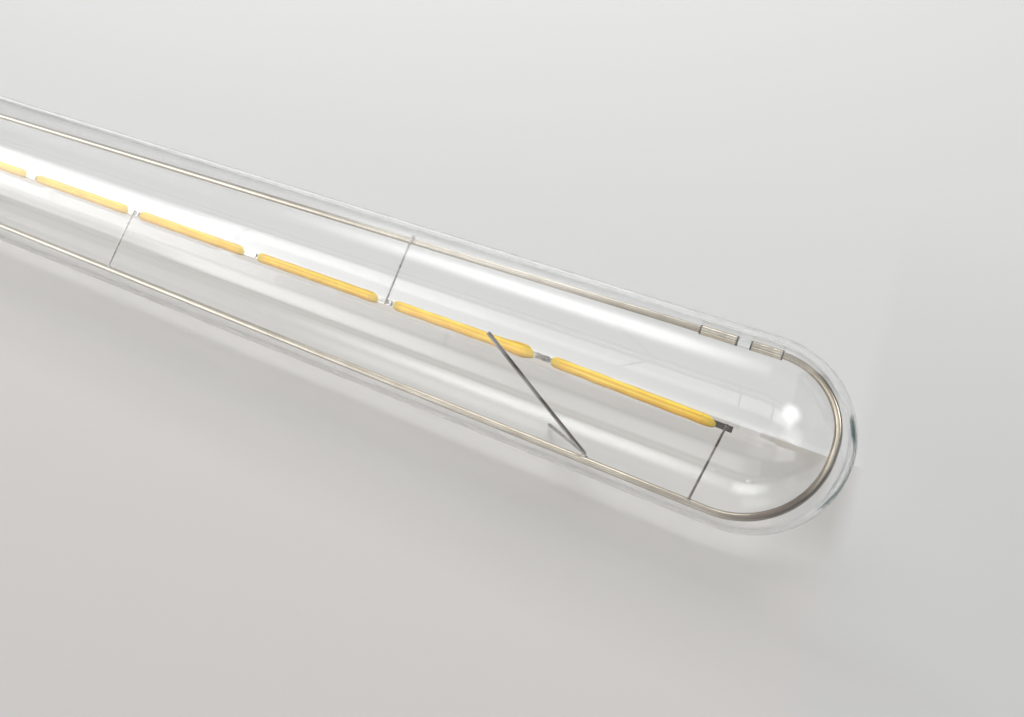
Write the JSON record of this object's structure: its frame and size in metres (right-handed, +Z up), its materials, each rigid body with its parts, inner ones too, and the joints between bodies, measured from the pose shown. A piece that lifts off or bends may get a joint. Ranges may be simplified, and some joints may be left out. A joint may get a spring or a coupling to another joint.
{
  "type": "tubular light bulb",
  "caption": "Clear tubular LED filament lamp: domed glass tube, filament chain along the axis on a wire frame with a spreader spring, glass stem, and a screw cap.",
  "frame": {"origin": "centre of the end contact's face, on the lamp's axis", "axes": "+X along the axis from the cap to the domed end, +Z up with the lamp lying on its side"},
  "size_m": [0.3, 0.028, 0.028],
  "materials": {
    "clear_glass": "clear, fire polished",
    "frame_wire": "bright nickel plate",
    "sleeve_metal": "satin",
    "spring_wire": "drawn steel",
    "tab_metal": "stamped, spot welded",
    "thin_wire": "drawn",
    "phosphor_coat": "satin phosphor silicone",
    "cap_metal": "rolled, satin",
    "basing_cement": "matt cement",
    "black_insulator": "black moulded glass",
    "contact_metal": "pressed",
    "board_laminate": "solder mask",
    "black_package": "moulded",
    "capacitor_sleeve": "shrink sleeve",
    "resistor_coat": "lacquer",
    "copper_wire": "tinned copper"
  },
  "bodies": {
    "root": {"glass_tube": "clear_glass", "glass_stem": "clear_glass", "insulator_rod": "clear_glass", "screw_shell": "cap_metal", "basing_cement": "basing_cement", "cap_insulator": "black_insulator", "centre_contact": "contact_metal", "driver_board": "board_laminate", "bridge_rectifier": "black_package", "driver_chip": "black_package", "smoothing_capacitor": "capacitor_sleeve", "fuse_resistor": "resistor_coat", "live_wire": "copper_wire", "neutral_wire": "copper_wire", "lead_in_near": "thin_wire", "lead_in_far": "thin_wire", "frame_wire_near": "frame_wire", "frame_wire_far": "frame_wire", "frame_sleeve_far": "sleeve_metal", "frame_sleeve_bend": "sleeve_metal", "spreader_spring": "spring_wire", "filament_1": "phosphor_coat", "cap_tab_1": "tab_metal", "dome_tab_1": "tab_metal", "filament_2": "phosphor_coat", "cap_tab_2": "tab_metal", "dome_tab_2": "tab_metal", "filament_3": "phosphor_coat", "cap_tab_3": "tab_metal", "dome_tab_3": "tab_metal", "filament_4": "phosphor_coat", "cap_tab_4": "tab_metal", "dome_tab_4": "tab_metal", "filament_5": "phosphor_coat", "cap_tab_5": "tab_metal", "dome_tab_5": "tab_metal", "filament_6": "phosphor_coat", "cap_tab_6": "tab_metal", "dome_tab_6": "tab_metal", "filament_7": "phosphor_coat", "cap_tab_7": "tab_metal", "dome_tab_7": "tab_metal", "filament_8": "phosphor_coat", "cap_tab_8": "tab_metal", "dome_tab_8": "tab_metal", "feed_wire_1": "thin_wire", "feed_wire_2": "thin_wire", "feed_wire_3": "thin_wire", "feed_wire_4": "thin_wire", "feed_wire_5": "thin_wire"}
  },
  "joints": []
}
